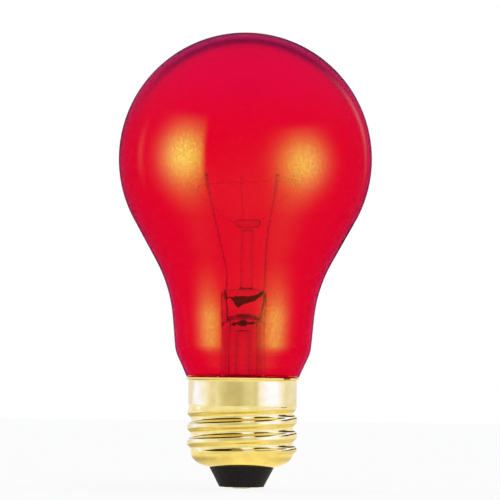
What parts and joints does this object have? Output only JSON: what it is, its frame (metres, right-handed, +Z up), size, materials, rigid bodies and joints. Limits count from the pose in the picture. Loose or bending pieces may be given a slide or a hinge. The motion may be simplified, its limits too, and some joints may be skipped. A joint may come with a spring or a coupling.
{
  "type": "darkroom safelight lamp",
  "caption": "Red transparent pear-shaped safelight lamp with a glass stem, arched filament and brass medium screw cap with black insulator.",
  "frame": {"origin": "tip of the centre contact, at the foot of the cap, on the lamp's axis", "axes": "+Z up along the lamp's axis from the cap to the crown; +X from the left lead wire to the right one; +Y towards the back support and the side solder"},
  "size_m": [0.0602, 0.0602, 0.1084],
  "materials": {
    "red_glass": "clear red coating over blown soda-lime glass",
    "clear_glass": "clear lead glass, fire polished",
    "brass": "bright drawn sheet brass",
    "black_glass": "opaque black base glass, satin",
    "solder": "dull soft solder",
    "cement": "baked basing cement",
    "nickel": "nickel-plated copper wire",
    "seal_alloy": "copper-clad nickel-iron wire, oxidised in the seal",
    "copper": "bare copper wire",
    "fuse_wire": "thin fuse alloy",
    "molybdenum": "drawn molybdenum wire",
    "tungsten": "coiled tungsten wire"
  },
  "bodies": {
    "root": {"glass_bulb": "red_glass", "stem_tube": "clear_glass", "exhaust_tube": "clear_glass", "button_rod": "clear_glass", "inner_lead_left": "nickel", "inner_lead_right": "nickel", "seal_wire_left": "seal_alloy", "seal_wire_right": "seal_alloy", "support_wire_left": "molybdenum", "support_wire_back": "molybdenum", "support_wire_right": "molybdenum", "filament": "tungsten", "outer_lead_side": "copper", "outer_lead_centre": "copper", "fuse_link": "fuse_wire", "screw_shell": "brass", "base_insulator": "black_glass", "contact_eyelet": "brass", "centre_solder": "solder", "side_solder": "solder", "base_cement": "cement"}
  },
  "joints": []
}
